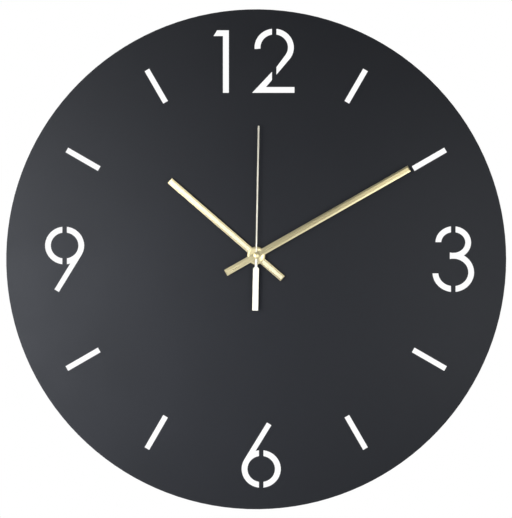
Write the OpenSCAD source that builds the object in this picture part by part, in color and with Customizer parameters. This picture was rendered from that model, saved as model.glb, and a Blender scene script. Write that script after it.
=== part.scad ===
// Flat metal disc wall clock with cut-out numerals and a battery quartz movement.
// Every piece is drawn lying on the bench: x to the right, y to twelve o'clock and
// z from the wall out to the viewer. upright() then hangs it, facing -Y.

/* [Dial plate] */
// Diameter of the dial disc
dial_d = 400; // [380:5:600]
// Thickness of the sheet steel
dial_t = 1.5; // [1:0.1:3]
// Height of the hands' axis over the middle of the disc
axis_rise = 2.9; // [0:0.1:6]
// Distance from the disc's edge to the outer end of an hour mark
mark_inset = 25; // [15:1:35]
// Length of an hour mark
mark_l = 30; // [10:1:40]
// Width of an hour mark
mark_w = 4.3; // [2:0.1:8]

/* [Numerals] */
// Distance from the disc's edge to the middle of the 12
twelve_inset = 41.8; // [36:0.1:50]
// Distance from the disc's edge to the middle of the 3
three_inset = 42.3; // [36:0.1:50]
// Distance from the disc's edge to the middle of the 6
six_inset = 43.2; // [36:0.1:50]
// Distance from the disc's edge to the middle of the 9
nine_inset = 46.7; // [36:0.1:50]
// Width of the strokes
stroke_w = 4.7; // [3:0.1:6]
// Width of the metal bridges left across a stroke
bridge_w = 3.6; // [2:0.1:6]
// Height of the 1, and of the 2 without its round top
numeral_h = 50.1; // [44:0.1:56]
// Half width of the round bowls of the 2, 6 and 9
bowl_rx = 15.7; // [12:0.1:18]
// Half height of the round bowls of the 2, 6 and 9
bowl_ry = 15.1; // [12:0.1:18]
// Half width of the upper bowl of the 3
three_upper_rx = 14.3; // [11:0.1:16]
// Half height of the upper bowl of the 3
three_upper_ry = 13; // [11:0.1:14]
// Half width of the lower bowl of the 3
three_lower_rx = 16.7; // [13:0.1:18]
// Half height of the lower bowl of the 3
three_lower_ry = 15.7; // [13:0.1:17]
// Length of the tail of the 9 and the 6
tail_l = 34.7; // [25:0.1:40]
// Width of that tail
tail_w = 4.2; // [3:0.1:6]

/* [Hour and minute hands] */
// Length of the hour hand from the axis to its tip
hour_hand_l = 91.4; // [60:0.1:110]
// Length of the minute hand from the axis to its tip
minute_hand_l = 140.6; // [90:0.1:170]
// Length of the tail of both hands
hand_tail_l = 28; // [15:0.5:40]
// Width of both hands
hand_w = 5.3; // [3:0.1:8]
// Thickness of both hands
hand_t = 0.8; // [0.5:0.1:1.5]
// Width of the sloping facet along each edge of a hand
facet_w = 1.4; // [0.5:0.1:1.4]
// Height of the sloping facet
facet_h = 0.4; // [0.2:0.05:0.45]
// Diameter of the round eye of a hand
eye_d = 13.8; // [11:0.1:18]
// Height of the eye's rim
eye_t = 0.7; // [0.5:0.05:0.75]
// Thickness of the eye at the bottom of its dish
eye_floor_t = 0.3; // [0.2:0.05:0.4]
// Angle of the hour hand, clockwise from twelve o'clock
hour_angle = 310.94; // [0:0.01:360]
// Angle of the minute hand, clockwise from twelve o'clock
minute_angle = 60.35; // [0:0.01:360]

/* [Second hand] */
// Length of the needle from the axis to its tip
second_hand_l = 103.5; // [60:0.5:130]
// Length of the counterweight tail from the axis
second_tail_l = 43.8; // [25:0.1:60]
// Width of the needle at its tip
needle_w = 1.4; // [0.8:0.1:2.5]
// Width of the needle at the hub
needle_root_w = 1; // [0.6:0.1:2]
// Width of the neck below the hub
neck_w = 1.9; // [1:0.1:3]
// Distance from the axis to the end of the neck
neck_l = 9; // [7:0.5:15]
// Width of the counterweight
weight_w = 4.7; // [3:0.1:8]
// Thickness of the second hand
second_t = 0.4; // [0.3:0.05:0.8]
// Diameter of the domed cap
cap_d = 5.2; // [4:0.1:8]
// Height of the cap over the second hand
cap_h = 1.5; // [1:0.1:3]
// Angle of the second hand, clockwise from twelve o'clock
second_angle = 1.1; // [0:0.01:360]

/* [Shafts] */
// Outer diameter of the threaded bush
bush_d = 8; // [7.6:0.1:10]
// Diameter of the hour tube
hour_tube_d = 5.1; // [4.6:0.1:6]
// Diameter of the minute tube
minute_tube_d = 3.2; // [2.6:0.1:3.6]
// Diameter of the seconds arbor
second_arbor_d = 1; // [0.8:0.1:1.4]
// Diameter of the fifth wheel's, third wheel's and rotor's arbors
arbor_d = 1.2; // [0.9:0.1:1.4]
// Diameter of the pivots at the ends of those arbors
pivot_d = 0.7; // [0.5:0.05:0.8]
// Diameter of the motion wheel's arbor
motion_arbor_d = 1.6; // [1.2:0.1:2]
// Radial gap of a running fit
run_gap = 0.06; // [0.03:0.01:0.1]
// Radial gap of a hole that a fixed piece passes through
pass_gap = 0.15; // [0.1:0.05:0.3]
// Axial play at each end of an arbor
end_play = 0.1; // [0.05:0.05:0.2]

/* [Gear train] */
// Module of the centre wheel and the third wheel's pinion
centre_module = 0.294; // [0.28:0.002:0.31]
// Module of the fifth wheel and the rotor's pinion
rotor_module = 0.32; // [0.28:0.005:0.34]
// Face width of every wheel
wheel_t = 1; // [0.6:0.05:1.2]
// Gap between neighbouring wheel layers
layer_gap = 0.4; // [0.2:0.05:0.6]
// Gap between the centre wheel's teeth and a neighbouring arbor
arbor_gap = 0.5; // [0.3:0.05:0.8]

/* [Movement case] */
// Thickness of the case's walls
case_wall = 1.4; // [1:0.1:2]
// Radius of the case's corners
case_corner_r = 4; // [2:0.5:6]
// Thickness of the rear cover
cover_t = 1.4; // [1:0.1:1.6]
// Thickness of the gear plate
plate_t = 1; // [0.8:0.1:1.5]
// Gap around a piece dropped into the case
seat_gap = 0.15; // [0.1:0.05:0.2]
// Diameter of the hand-setting knob
knob_d = 13.8; // [11:0.1:14]
// Thickness of the knob
knob_t = 2.1; // [1.5:0.1:2.1]
// Diameter of the posts that carry the gear plate
post_d = 3.6; // [3:0.1:4]

/* [Motor] */
// Length of the coil's winding
winding_l = 16; // [12:0.5:18]
// Diameter of the coil's winding
winding_d = 6.2; // [5:0.1:6.4]
// Thickness of a bobbin flange
flange_t = 1; // [0.6:0.1:1.4]
// Diameter of the rotor magnet
magnet_d = 5.6; // [4:0.1:6]
// Air gap between the magnet and the stator
air_gap = 0.5; // [0.3:0.05:0.8]
// Thickness of the stator plate and of the coil's core
core_t = 1; // [0.8:0.1:1.2]

/* [Battery] */
// Diameter of the battery
battery_d = 14.3; // [13.8:0.1:14.5]
// Length of the battery with its positive nub
battery_l = 50.5; // [49.5:0.1:50.5]
// Height of the nub
nub_h = 1.4; // [1:0.1:1.6]
// Diameter of the nub
nub_d = 5.4; // [4.5:0.1:5.5]
// Thickness of the printed sleeve round the can
sleeve_t = 0.15; // [0.1:0.05:0.2]
// Gap between the battery and the walls of its bay
bay_gap = 0.3; // [0.2:0.05:0.5]
// Thickness of the contact strips
strip_t = 0.3; // [0.2:0.05:0.4]
// Space that the contact spring takes
spring_l = 2.1; // [1.5:0.1:3]

/* [Mounting stack] */
// Thickness of the hanger plate
hanger_t = 0.8; // [0.6:0.1:1.2]
// Width of the hanger plate
hanger_w = 22; // [18:1:30]
// Diameter of the hanging hole
hanging_hole_d = 8; // [5:0.5:10]
// Distance from the top of the case to the middle of the hanging hole
hanging_rise = 10; // [8:0.5:16]
// Distance from the wall to the back of the hanger's tab
hanger_standoff = 3.2; // [2:0.1:6]
// Thickness of the rubber gasket
gasket_t = 1; // [0.5:0.1:2]
// Diameter of the rubber gasket
gasket_d = 18; // [14:0.5:24]
// Thickness of the washer
washer_t = 0.5; // [0.3:0.1:1]
// Diameter of the washer
washer_d = 14.6; // [12:0.1:18]
// Thickness of the nut
nut_t = 2.2; // [1.5:0.1:3]
// Size of the nut across its flats
nut_flats = 11; // [10.4:0.1:13]
// Length of bare thread in front of the nut
thread_end = 0.6; // [0.3:0.1:1.5]

/* [Hand stack] */
// Gap between the end of the bush and the hour hand
hour_hand_gap = 0.6; // [0.4:0.1:1.5]
// Gap between one hand and the next
hand_gap = 1.1; // [0.8:0.1:2]
// Wall of a hand's collet
collet_wall = 0.7; // [0.4:0.1:1]
// Length that a collet stands out behind its hand
collet_back = 0.3; // [0.2:0.05:0.35]
// Length that a tube stands out in front of its hand
tube_end = 0.4; // [0.2:0.1:0.5]

/* [Hidden] */
$fn = 64;

// Overshoot that keeps a cut clear of the face it opens
cut = 1;
dial_r = dial_d / 2;

// Tooth counts: seconds to minutes 60 to 1, minutes to hours 12 to 1, rotor to seconds 30 to 1
rotor_teeth = 8;
fifth_wheel_teeth = 48;
fifth_pinion_teeth = 10;
second_wheel_teeth = 50;
second_pinion_teeth = 8;
third_wheel_teeth = 64;
third_pinion_teeth = 8;
centre_teeth = 60;
cannon_teeth = 12;
motion_wheel_teeth = 36;
motion_pinion_teeth = 10;
hour_teeth = 40;

// Tooth shape as shares of the module and of the tooth pitch
addendum = 0.85;
dedendum = 1.1;
root_share = 0.31;
tip_share = 0.11;

// Plan of the train: each arbor stands clear of the centre wheel
centre_outer_r = (centre_teeth / 2 + addendum) * centre_module;
third_distance = (centre_teeth + third_pinion_teeth) / 2 * centre_module;
fifth_distance = centre_outer_r + arbor_d / 2 + arbor_gap;
motion_distance = centre_outer_r + motion_arbor_d / 2 + arbor_gap;
rotor_distance = (rotor_teeth + fifth_wheel_teeth) / 2 * rotor_module;
third_bearing = 165;
fifth_bearing = 15;
motion_bearing = 90;
rotor_bearing = 60;
third_at = polar(third_distance, third_bearing);
fifth_at = polar(fifth_distance, fifth_bearing);
motion_at = polar(motion_distance, motion_bearing);
rotor_at = fifth_at + polar(rotor_distance, rotor_bearing);
second_module = fifth_distance * 2 / (fifth_pinion_teeth + second_wheel_teeth);
third_module = third_distance * 2 / (second_pinion_teeth + third_wheel_teeth);
cannon_module = motion_distance * 2 / (cannon_teeth + motion_wheel_teeth);
hour_module = motion_distance * 2 / (motion_pinion_teeth + hour_teeth);

// Sleeve of the minute cannon that the centre wheel sits on
sleeve_wall = 0.3;
sleeve_r = minute_tube_d / 2 + sleeve_wall;

// Heights from the wall inside the movement
knob_back = 0.3;
knob_socket_back = 0.4;
knob_seat_z = knob_back + knob_socket_back;
cup_gap = 0.4;
cup_floor_z = knob_back + knob_t + cup_gap;
cup_floor_t = 0.7;
plate_z = cup_floor_z + cup_floor_t + end_play;
train_z = plate_z + plate_t;
first_layer_gap = 0.6;
layer_step = wheel_t + layer_gap;
bush_flange_t = 0.7;
train_front = layer_z(6) + bush_flange_t + layer_gap;
room_front = max(train_front, battery_d + bay_gap);
case_depth = room_front + case_wall;

// Plan of the case
bay_h = battery_d + 2 * bay_gap;
bay_l = battery_l + spring_l + 2 * strip_t;
case_w = bay_l + 2 * case_wall;
bay_clear = 2.5;
bay_top = -(centre_outer_r + bay_clear);
bay_bottom = bay_top - bay_h;
case_bottom = bay_bottom - case_wall;
case_top = -case_bottom;
room_half_w = case_w / 2 - case_wall;
room_bottom = bay_top + case_wall;
room_top = case_top - case_wall;
post_inset = post_d / 2 + 2 * seat_gap;
strip_w = 1;
post_low_y = room_bottom + strip_w + 2 * seat_gap + post_inset;
battery_y = bay_top - bay_h / 2;
battery_z = room_front - bay_gap / 2 - battery_d / 2;

// Bush and mounting stack
bush_r = bush_d / 2;
bush_bore_r = hour_tube_d / 2 + run_gap;
bush_flange_rim = 1.2;
bush_flange_r = bush_r + bush_flange_rim;
bush_hole_r = bush_r + pass_gap;
gasket_z = case_depth + hanger_t;
dial_z = gasket_z + gasket_t;
washer_z = dial_z + dial_t;
nut_z = washer_z + washer_t;
bush_end = nut_z + nut_t + thread_end;

// Hands
hour_hand_z = bush_end + hour_hand_gap;
minute_hand_z = hour_hand_z + hand_t + hand_gap;
second_hand_z = minute_hand_z + hand_t + hand_gap;
hour_tube_end = hour_hand_z + hand_t + tube_end;
minute_tube_end = minute_hand_z + hand_t + tube_end;
second_arbor_end = second_hand_z + second_t + cap_h / 2;

// Motor
coil_gap = 0.7;
coil_shift = 6.3;
flange_rim = 0.5;
coil_y = room_top - winding_d / 2 - coil_gap;
coil_x = rotor_at.x - coil_shift;
flange_r = winding_d / 2 + flange_rim;
core_w = 2.4;
bobbin_tube_r = 2.1;
core_overlap = 4.3;
core_half_l = winding_l / 2 + flange_t + core_overlap;
stator_z = layer_z(2);
core_z = stator_z + core_t;
stator_screw_r = 0.8;
stator_screw_head_r = 1.5;
stator_screw_head_t = 0.7;
stator_post_r = 1.8;
stator_hole_r = magnet_d / 2 + air_gap;
stator_ring_w = 2.1;
stator_lobe_r = stator_hole_r + stator_ring_w;
screw_x = core_half_l - core_overlap / 2;
stator_screw_l = 3.4;

// Circuit board
board_t = 0.8;
board_w = 14;
board_l = 17;
board_x = -room_half_w + strip_t;
board_y = 3;

// Contacts
contact_w = 9;
contact_h = 9;
riser_w = 3;
riser_gap = 0.1;
feed_inset = 4.6;
feed_x = board_x + feed_inset;

// Hanger
shelf_gap = 0.3;
hanger_foot = 9;
shelf_y = case_top + shelf_gap;
hanging_y = case_top + hanging_rise;
tab_r = hanger_w / 2;

function polar(r, a) = [r * cos(a), r * sin(a)];

// Back face of wheel layer k, counted from the gear plate
function layer_z(k) = train_z + first_layer_gap + k * layer_step;

// Points along an oval from one angle to another
function oval_points(rx, ry, from, to, steps = 36) =
  [for (i = [0:steps]) let (a = from + (to - from) * i / steps) [rx * cos(a), ry * sin(a)]];

// Outline of a spur wheel with straight-flanked teeth, one tooth centred on the x axis
function tooth_points(teeth, m) =
  let (pitch = 360 / teeth, root = (teeth / 2 - dedendum) * m, tip = (teeth / 2 + addendum) * m)
  [for (i = [0:teeth - 1]) for (corner = [[root, -root_share], [tip, -tip_share],
    [tip, tip_share], [root, root_share]]) polar(corner[0], (i + corner[1]) * pitch)];

module upright() rotate([90, 0, 0]) children();
module clockwise(angle) rotate([0, 0, -angle]) children();
module place(at, z) translate([at.x, at.y, z]) children();

module disc(r, h, z) translate([0, 0, z]) cylinder(r = r, h = h);

module tube(r_out, r_in, h, z) translate([0, 0, z]) difference() {
  cylinder(r = r_out, h = h);
  translate([0, 0, -cut]) cylinder(r = r_in, h = h + 2 * cut);
}

// Disc of height h whose top is a dome that stands rise above its rim
module dome(r, h, rise) rotate_extrude() intersection() {
  ball_r = (r * r + rise * rise) / 2 / rise;
  square([r, h]);
  translate([0, h - ball_r]) circle(r = ball_r);
}

// A block from its low corner to its high corner
module block(low, high) translate(low) cube(high - low);

// Flat wheel with a tooth pointing along facing, or a gap there
module toothed(teeth, m, z, facing, gap = false)
  translate([0, 0, z]) rotate([0, 0, facing + (gap ? 180 / teeth : 0)])
    linear_extrude(wheel_t) polygon(tooth_points(teeth, m));

// Arbor between the gear plate and the front of the case, with a pivot at each end
module arbor(r) {
  disc(r, room_front - train_z - 2 * end_play, train_z + end_play);
  disc(pivot_d / 2, case_wall / 2 + plate_t + room_front - train_z, plate_z);
}

// ---- dial plate ----

module bridge(x, from, to) translate([x - bridge_w / 2, from]) square([bridge_w, to - from]);

module bowl(rx, ry) difference() {
  polygon(oval_points(rx, ry, 0, 350));
  polygon(oval_points(rx - stroke_w, ry - stroke_w, 0, 350));
}

module numeral_one() {
  flag_top = 9.4;
  flag_low = 12.3;
  polygon([[0, -numeral_h / 2], [0, numeral_h / 2], [-flag_top, numeral_h / 2],
    [-flag_low, numeral_h / 2 - stroke_w], [-stroke_w, numeral_h / 2 - stroke_w],
    [-stroke_w, -numeral_h / 2]]);
}

module numeral_two() {
  start = 185;
  leave = -42;
  inner_leave = -36;
  waist = [2, -15.4];
  top_rise = 1.3;
  middle = numeral_h / 2 + top_rise - bowl_ry;
  foot_left = -17.7;
  foot_right = 16.2;
  notch = 11.2;
  base = -numeral_h / 2 - middle;
  translate([0, middle]) difference() {
    polygon(concat(
      oval_points(bowl_rx, bowl_ry, start, leave),
      [[foot_left + notch, base + stroke_w], [foot_right, base + stroke_w],
        [foot_right, base], [foot_left, base], waist],
      oval_points(bowl_rx - stroke_w, bowl_ry - stroke_w, inner_leave, start)
    ));
    bridge(0, base + stroke_w + cut, bowl_ry + cut);
  }
}

module numeral_three() {
  upper_y = 13.4;
  lower_y = -10.5;
  open_top = 13.7;
  open_bottom = -11.3;
  bar_left = -2.8;
  difference() {
    union() {
      translate([0, upper_y]) bowl(three_upper_rx, three_upper_ry);
      translate([0, lower_y]) bowl(three_lower_rx, three_lower_ry);
    }
    translate([bar_left - three_lower_rx, open_bottom])
      square([three_lower_rx, open_top - open_bottom]);
    bridge(0, upper_y, upper_y + three_upper_ry + cut);
    bridge(0, lower_y - three_lower_ry - cut, lower_y);
  }
}

module numeral_nine() {
  bowl_y = 11;
  leave = -30.5;
  difference() {
    translate([0, bowl_y]) bowl(bowl_rx, bowl_ry);
    bridge(0, bowl_y - bowl_ry - cut, bowl_y + bowl_ry + cut);
  }
  translate([bowl_rx * cos(leave), bowl_y + bowl_ry * sin(leave)])
    rotate(atan2(bowl_rx * sin(leave), bowl_ry * cos(leave)))
      translate([-tail_w, -tail_l]) square([tail_w, tail_l]);
}

module hour_marks() for (hour = [0:11]) if (hour % 3 != 0)
  rotate(-30 * hour)
    translate([-mark_w / 2, dial_r - mark_inset - mark_l]) square([mark_w, mark_l]);

module dial_plate() {
  one_x = -21.9;
  two_x = 14.4;
  six_x = 4;
  color("#2b2d31") upright() translate([0, 0, dial_z]) linear_extrude(dial_t) difference() {
    translate([0, -axis_rise]) difference() {
      circle(r = dial_r, $fn = 256);
      hour_marks();
      translate([one_x, dial_r - twelve_inset]) numeral_one();
      translate([two_x, dial_r - twelve_inset]) numeral_two();
      translate([dial_r - three_inset, 0]) numeral_three();
      translate([six_x, six_inset - dial_r]) rotate(180) numeral_nine();
      translate([nine_inset - dial_r, 0]) numeral_nine();
    }
    circle(r = bush_hole_r);
  }
}

// ---- hands ----

// Bar with a flat top, sloping facets along both edges and bevelled ends
module faceted_bar(tip, tail) {
  side = [[0, 0], [1, 0], [1, hand_t - facet_h], [0, hand_t]];
  end_bevel = facet_w / 2;
  intersection() {
    translate([0, tip, 0]) rotate([90, 0, 0]) linear_extrude(tip + tail) polygon([
      [-hand_w / 2, 0], [hand_w / 2, 0], [hand_w / 2, hand_t - facet_h],
      [hand_w / 2 - facet_w, hand_t], [facet_w - hand_w / 2, hand_t],
      [-hand_w / 2, hand_t - facet_h]]);
    translate([-hand_w, 0, 0]) rotate([90, 0, 90]) linear_extrude(2 * hand_w) polygon([
      [-tail, 0], [tip, 0], [tip, hand_t - facet_h], [tip - end_bevel, hand_t],
      [end_bevel - tail, hand_t], [-tail, hand_t - facet_h]]);
  }
}

// Round eye with a sloping rim and a dish round the collet
module hand_eye() {
  rim_w = 1.1;
  dish_floor_r = 3.5;
  rotate_extrude() polygon([[0, 0], [eye_d / 2, 0], [eye_d / 2, eye_floor_t],
    [eye_d / 2 - rim_w, eye_t], [dish_floor_r, eye_floor_t], [0, eye_floor_t]]);
}

module hand_blade(tip, bore_r) difference() {
  union() {
    faceted_bar(tip, hand_tail_l);
    hand_eye();
  }
  translate([0, 0, -cut]) cylinder(r = bore_r, h = hand_t + 2 * cut);
}

// Flanged ring that is riveted in the hand and pushed on its tube
module hand_collet(bore_r) {
  tube(bore_r + collet_wall, bore_r, hand_t + collet_back, -collet_back);
  tube(bore_r + 2 * collet_wall, bore_r, collet_back, -collet_back);
}

module hour_hand_blade() color("#d8c48e") upright() clockwise(hour_angle)
  translate([0, 0, hour_hand_z]) hand_blade(hour_hand_l, hour_tube_d / 2 + collet_wall);

module hour_hand_collet() color("#b99a52") upright()
  translate([0, 0, hour_hand_z]) hand_collet(hour_tube_d / 2);

module minute_hand_blade() color("#d8c48e") upright() clockwise(minute_angle)
  translate([0, 0, minute_hand_z]) hand_blade(minute_hand_l, minute_tube_d / 2 + collet_wall);

module minute_hand_collet() color("#b99a52") upright()
  translate([0, 0, minute_hand_z]) hand_collet(minute_tube_d / 2);

module second_hand_blade() {
  shoulder = weight_w / 4;
  cap_overhang = 0.2;
  hub_r = cap_d / 2 - cap_overhang;
  color("#efe8cf") upright() clockwise(second_angle) translate([0, 0, second_hand_z])
    difference() {
      union() {
        linear_extrude(second_t) polygon([[-needle_w / 2, second_hand_l],
          [needle_w / 2, second_hand_l], [needle_root_w / 2, 0], [neck_w / 2, 0],
          [neck_w / 2, -neck_l], [weight_w / 2, -neck_l - shoulder],
          [weight_w / 2, -second_tail_l], [-weight_w / 2, -second_tail_l],
          [-weight_w / 2, -neck_l - shoulder], [-neck_w / 2, -neck_l],
          [-neck_w / 2, 0], [-needle_root_w / 2, 0]]);
        cylinder(r = hub_r, h = second_t);
      }
      translate([0, 0, -cut])
        cylinder(r = second_arbor_d / 2 + collet_wall / 2, h = second_t + 2 * cut);
    }
}

module second_hand_cap() {
  tube_r = second_arbor_d / 2 + collet_wall / 2;
  base = second_hand_z + second_t;
  color("#c9b06a") upright() difference() {
    union() {
      translate([0, 0, base]) dome(cap_d / 2, cap_h, cap_h / 2);
      disc(tube_r, second_t + collet_back, second_hand_z - collet_back);
    }
    disc(second_arbor_d / 2, second_arbor_end - base + second_t + collet_back + cut,
      second_hand_z - collet_back - cut);
  }
}

// ---- mounting stack ----

module shaft_nut() {
  corner_r = nut_flats / 2 / cos(30);
  chamfer_h = 0.4;
  color("#c2b072") upright() translate([0, 0, nut_z]) difference() {
    intersection() {
      cylinder(r = corner_r, h = nut_t, $fn = 6);
      rotate_extrude() polygon([[0, 0], [corner_r, 0], [corner_r, nut_t - chamfer_h],
        [nut_flats / 2, nut_t], [0, nut_t]]);
    }
    translate([0, 0, -cut]) cylinder(r = bush_r, h = nut_t + 2 * cut);
  }
}

module shaft_washer() color("#c2b072") upright()
  tube(washer_d / 2, bush_hole_r, washer_t, washer_z);

module rubber_gasket() color("#26262a") upright()
  tube(gasket_d / 2, bush_hole_r, gasket_t, gasket_z);

// Upright tab with a round top, standing on the hanger's shelf
module tab_outline() {
  translate([-tab_r, shelf_y]) square([hanger_w, hanging_y - shelf_y]);
  translate([0, hanging_y]) intersection() {
    circle(r = tab_r);
    translate([-tab_r, 0]) square([hanger_w, tab_r]);
  }
}

module hanger_plate() color("#b9bcc0") upright() {
  front = case_depth + hanger_t;
  difference() {
    union() {
      block([-hanger_w / 2, -hanger_foot, case_depth],
        [hanger_w / 2, shelf_y + hanger_t, front]);
      block([-hanger_w / 2, shelf_y, hanger_standoff],
        [hanger_w / 2, shelf_y + hanger_t, front]);
      translate([0, 0, hanger_standoff]) linear_extrude(hanger_t) tab_outline();
    }
    disc(bush_hole_r, hanger_t + 2 * cut, case_depth - cut);
    translate([0, hanging_y, hanger_standoff - cut])
      cylinder(d = hanging_hole_d, h = hanger_t + 2 * cut);
  }
}

// ---- movement case ----

module rounded_square(low, high, r) {
  translate([low.x, low.y + r]) square([high.x - low.x, high.y - low.y - 2 * r]);
  translate([low.x + r, low.y]) square([high.x - low.x - 2 * r, high.y - low.y]);
  for (x = [low.x + r, high.x - r]) for (y = [low.y + r, high.y - r])
    translate([x, y]) circle(r = r);
}

module at_posts() for (x = [-1, 1]) for (y = [post_low_y, room_top - post_inset])
  translate([x * (room_half_w - post_inset), y, 0]) children();

// Slots in the bay's wall for the contacts' risers
module riser_slots() for (side = [-1, 1])
  translate([side * (room_half_w - (strip_t + riser_gap) / 2), bay_top + case_wall / 2,
    train_z + riser_w / 2])
    cube([strip_t + riser_gap, case_wall + 2 * seat_gap, riser_w + 2 * riser_gap], center = true);

module pivot_hole(at) place(at, room_front - cut)
  cylinder(r = pivot_d / 2 + run_gap, h = cut + case_wall / 2 + end_play);

module case_front() color("#1d1e20") upright() {
  difference() {
    linear_extrude(case_depth)
      rounded_square([-case_w / 2, case_bottom], [case_w / 2, case_top], case_corner_r);
    block([-room_half_w, room_bottom, -cut], [room_half_w, room_top, room_front]);
    block([-room_half_w, bay_bottom, -cut], [room_half_w, bay_top, room_front]);
    disc(bush_r, 2 * case_wall + cut, room_front - cut);
    riser_slots();
    for (at = [third_at, fifth_at, rotor_at, motion_at]) pivot_hole(at);
  }
  at_posts() disc(post_d / 2, room_front - train_z, train_z);
}

module case_back() {
  cup_r = knob_d / 2 + 2 * seat_gap;
  cup_wall = 0.8;
  color("#232427") upright() {
    difference() {
      union() {
        block([seat_gap - room_half_w, room_bottom + seat_gap, 0],
          [room_half_w - seat_gap, room_top - seat_gap, cover_t]);
        place(motion_at, 0) cylinder(r = cup_r + cup_wall, h = cup_floor_z + cup_floor_t);
      }
      place(motion_at, -cut) cylinder(r = cup_r, h = cup_floor_z + cut);
      place(motion_at, 0) cylinder(r = motion_arbor_d / 2 + pass_gap, h = plate_z);
    }
    at_posts() disc(post_d / 2, plate_z - cover_t, cover_t);
  }
}

module threaded_bush() color("#c8a95a") upright() {
  tube(bush_r, bush_bore_r, bush_end - room_front, room_front);
  tube(bush_flange_r, bush_bore_r, bush_flange_t, room_front - bush_flange_t);
}

module gear_plate() color("#e4e2d8") upright() difference() {
  union() {
    block([seat_gap - room_half_w, room_bottom + seat_gap, plate_z],
      [room_half_w - seat_gap, room_top - seat_gap, train_z]);
    at_screws() disc(stator_post_r, stator_z - train_z, train_z);
  }
  for (at = [third_at, fifth_at, rotor_at, [0, 0]])
    place(at, plate_z - cut) cylinder(r = pivot_d / 2 + run_gap, h = plate_t + 2 * cut);
  place(motion_at, plate_z - cut)
    cylinder(r = motion_arbor_d / 2 + run_gap, h = plate_t + 2 * cut);
  at_screws() disc(stator_screw_r, stator_z - train_z + cut, train_z);
}

// ---- motor and electronics ----

module at_screws() for (side = [-1, 1])
  translate([coil_x + side * screw_x, coil_y, 0]) children();

module along_coil(r, from, to) translate([coil_x + from, coil_y, core_z + core_t / 2])
  rotate([0, 90, 0]) cylinder(r = r, h = to - from);

module coil_core() color("#8d9096") upright() difference() {
  block([coil_x - core_half_l, coil_y - core_w / 2, core_z],
    [coil_x + core_half_l, coil_y + core_w / 2, core_z + core_t]);
  at_screws() disc(stator_screw_r, core_t + 2 * cut, core_z - cut);
}

module coil_bobbin() {
  half = winding_l / 2;
  end = half + flange_t;
  color("#3d6b4a") upright() difference() {
    union() {
      along_coil(bobbin_tube_r, -end, end);
      along_coil(flange_r, -end, -half);
      along_coil(flange_r, half, end);
    }
    block([coil_x - core_half_l, coil_y - core_w / 2, core_z],
      [coil_x + core_half_l, coil_y + core_w / 2, core_z + core_t]);
  }
}

module coil_winding() color("#b4653a") upright() difference() {
  along_coil(winding_d / 2, -winding_l / 2, winding_l / 2);
  along_coil(bobbin_tube_r, -winding_l, winding_l);
}

module stator_plate() {
  leg_w = 4;
  arm_y = rotor_at.y + stator_lobe_r;
  left = coil_x - screw_x;
  right = coil_x + screw_x;
  top = coil_y + core_w / 2;
  hole_h = core_t + 2 * cut;
  color("#8d9096") upright() difference() {
    union() {
      translate([0, 0, stator_z]) linear_extrude(core_t) polygon([
        [left - leg_w / 2, top], [left + leg_w / 2, top], [left + leg_w / 2, arm_y + 1],
        [rotor_at.x, arm_y], [right - leg_w / 2, arm_y + 1], [right - leg_w / 2, top],
        [right + leg_w / 2, top], [right + leg_w / 2, arm_y],
        [rotor_at.x + stator_lobe_r, rotor_at.y], [rotor_at.x - stator_lobe_r, rotor_at.y],
        [left - leg_w / 2, arm_y - 1]]);
      place(rotor_at, 0) disc(stator_lobe_r, core_t, stator_z);
    }
    place(rotor_at, 0) disc(stator_hole_r, hole_h, stator_z - cut);
    at_screws() disc(stator_screw_r, hole_h, stator_z - cut);
  }
}

module stator_screws() color("#c9cdd2") upright() at_screws() {
  disc(stator_screw_r, stator_screw_l, core_z + core_t - stator_screw_l);
  disc(stator_screw_head_r, stator_screw_head_t, core_z + core_t);
}

module circuit_board() color("#2f6b45") upright()
  block([board_x, board_y, train_z], [board_x + board_w, board_y + board_l, train_z + board_t]);

module chip_blob() {
  blob_r = 3;
  blob_h = 1.3;
  inset = 5;
  color("#151515") upright()
    translate([board_x + board_w / 2, board_y + board_l - inset, train_z + board_t])
      dome(blob_r, blob_h, blob_h);
}

module quartz_crystal() {
  can_r = 1;
  can_l = 6;
  inset = 4;
  color("#d5d7da") upright()
    translate([board_x + (board_w - can_l) / 2, board_y + inset, train_z + board_t + can_r])
      rotate([0, 90, 0]) cylinder(r = can_r, h = can_l);
}

// ---- wheels ----

module rotor_magnet() {
  overlap = 0.8;
  color("#55585e") upright() place(rotor_at, 0)
    tube(magnet_d / 2, arbor_d / 2, core_t + 2 * overlap, stator_z - overlap);
}

module rotor_pinion() color("#e9e4d4") upright() place(rotor_at, 0) {
  arbor(arbor_d / 2);
  toothed(rotor_teeth, rotor_module, layer_z(0), rotor_bearing + 180);
}

module fifth_wheel() color("#efe9da") upright() place(fifth_at, 0) {
  arbor(arbor_d / 2);
  toothed(fifth_wheel_teeth, rotor_module, layer_z(0), rotor_bearing, gap = true);
  toothed(fifth_pinion_teeth, second_module, layer_z(1), fifth_bearing + 180);
  disc(arbor_d, layer_gap, layer_z(0) + wheel_t);
}

module second_wheel() color("#efe9da") upright() {
  pinion_root_r = (second_pinion_teeth / 2 - dedendum) * third_module;
  disc(pivot_d / 2, plate_t + 2 * end_play, plate_z);
  disc(second_arbor_d / 2, second_arbor_end - train_z - end_play, train_z + end_play);
  toothed(second_wheel_teeth, second_module, layer_z(1), fifth_bearing, gap = true);
  toothed(second_pinion_teeth, third_module, layer_z(2), third_bearing);
  disc(pinion_root_r, layer_gap, layer_z(1) + wheel_t);
}

module third_wheel() color("#efe9da") upright() place(third_at, 0) {
  arbor(arbor_d / 2);
  toothed(third_wheel_teeth, third_module, layer_z(2), third_bearing + 180, gap = true);
  toothed(third_pinion_teeth, centre_module, layer_z(3), third_bearing + 180);
  disc((third_pinion_teeth / 2 - dedendum) * centre_module, layer_gap, layer_z(2) + wheel_t);
}

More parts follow.
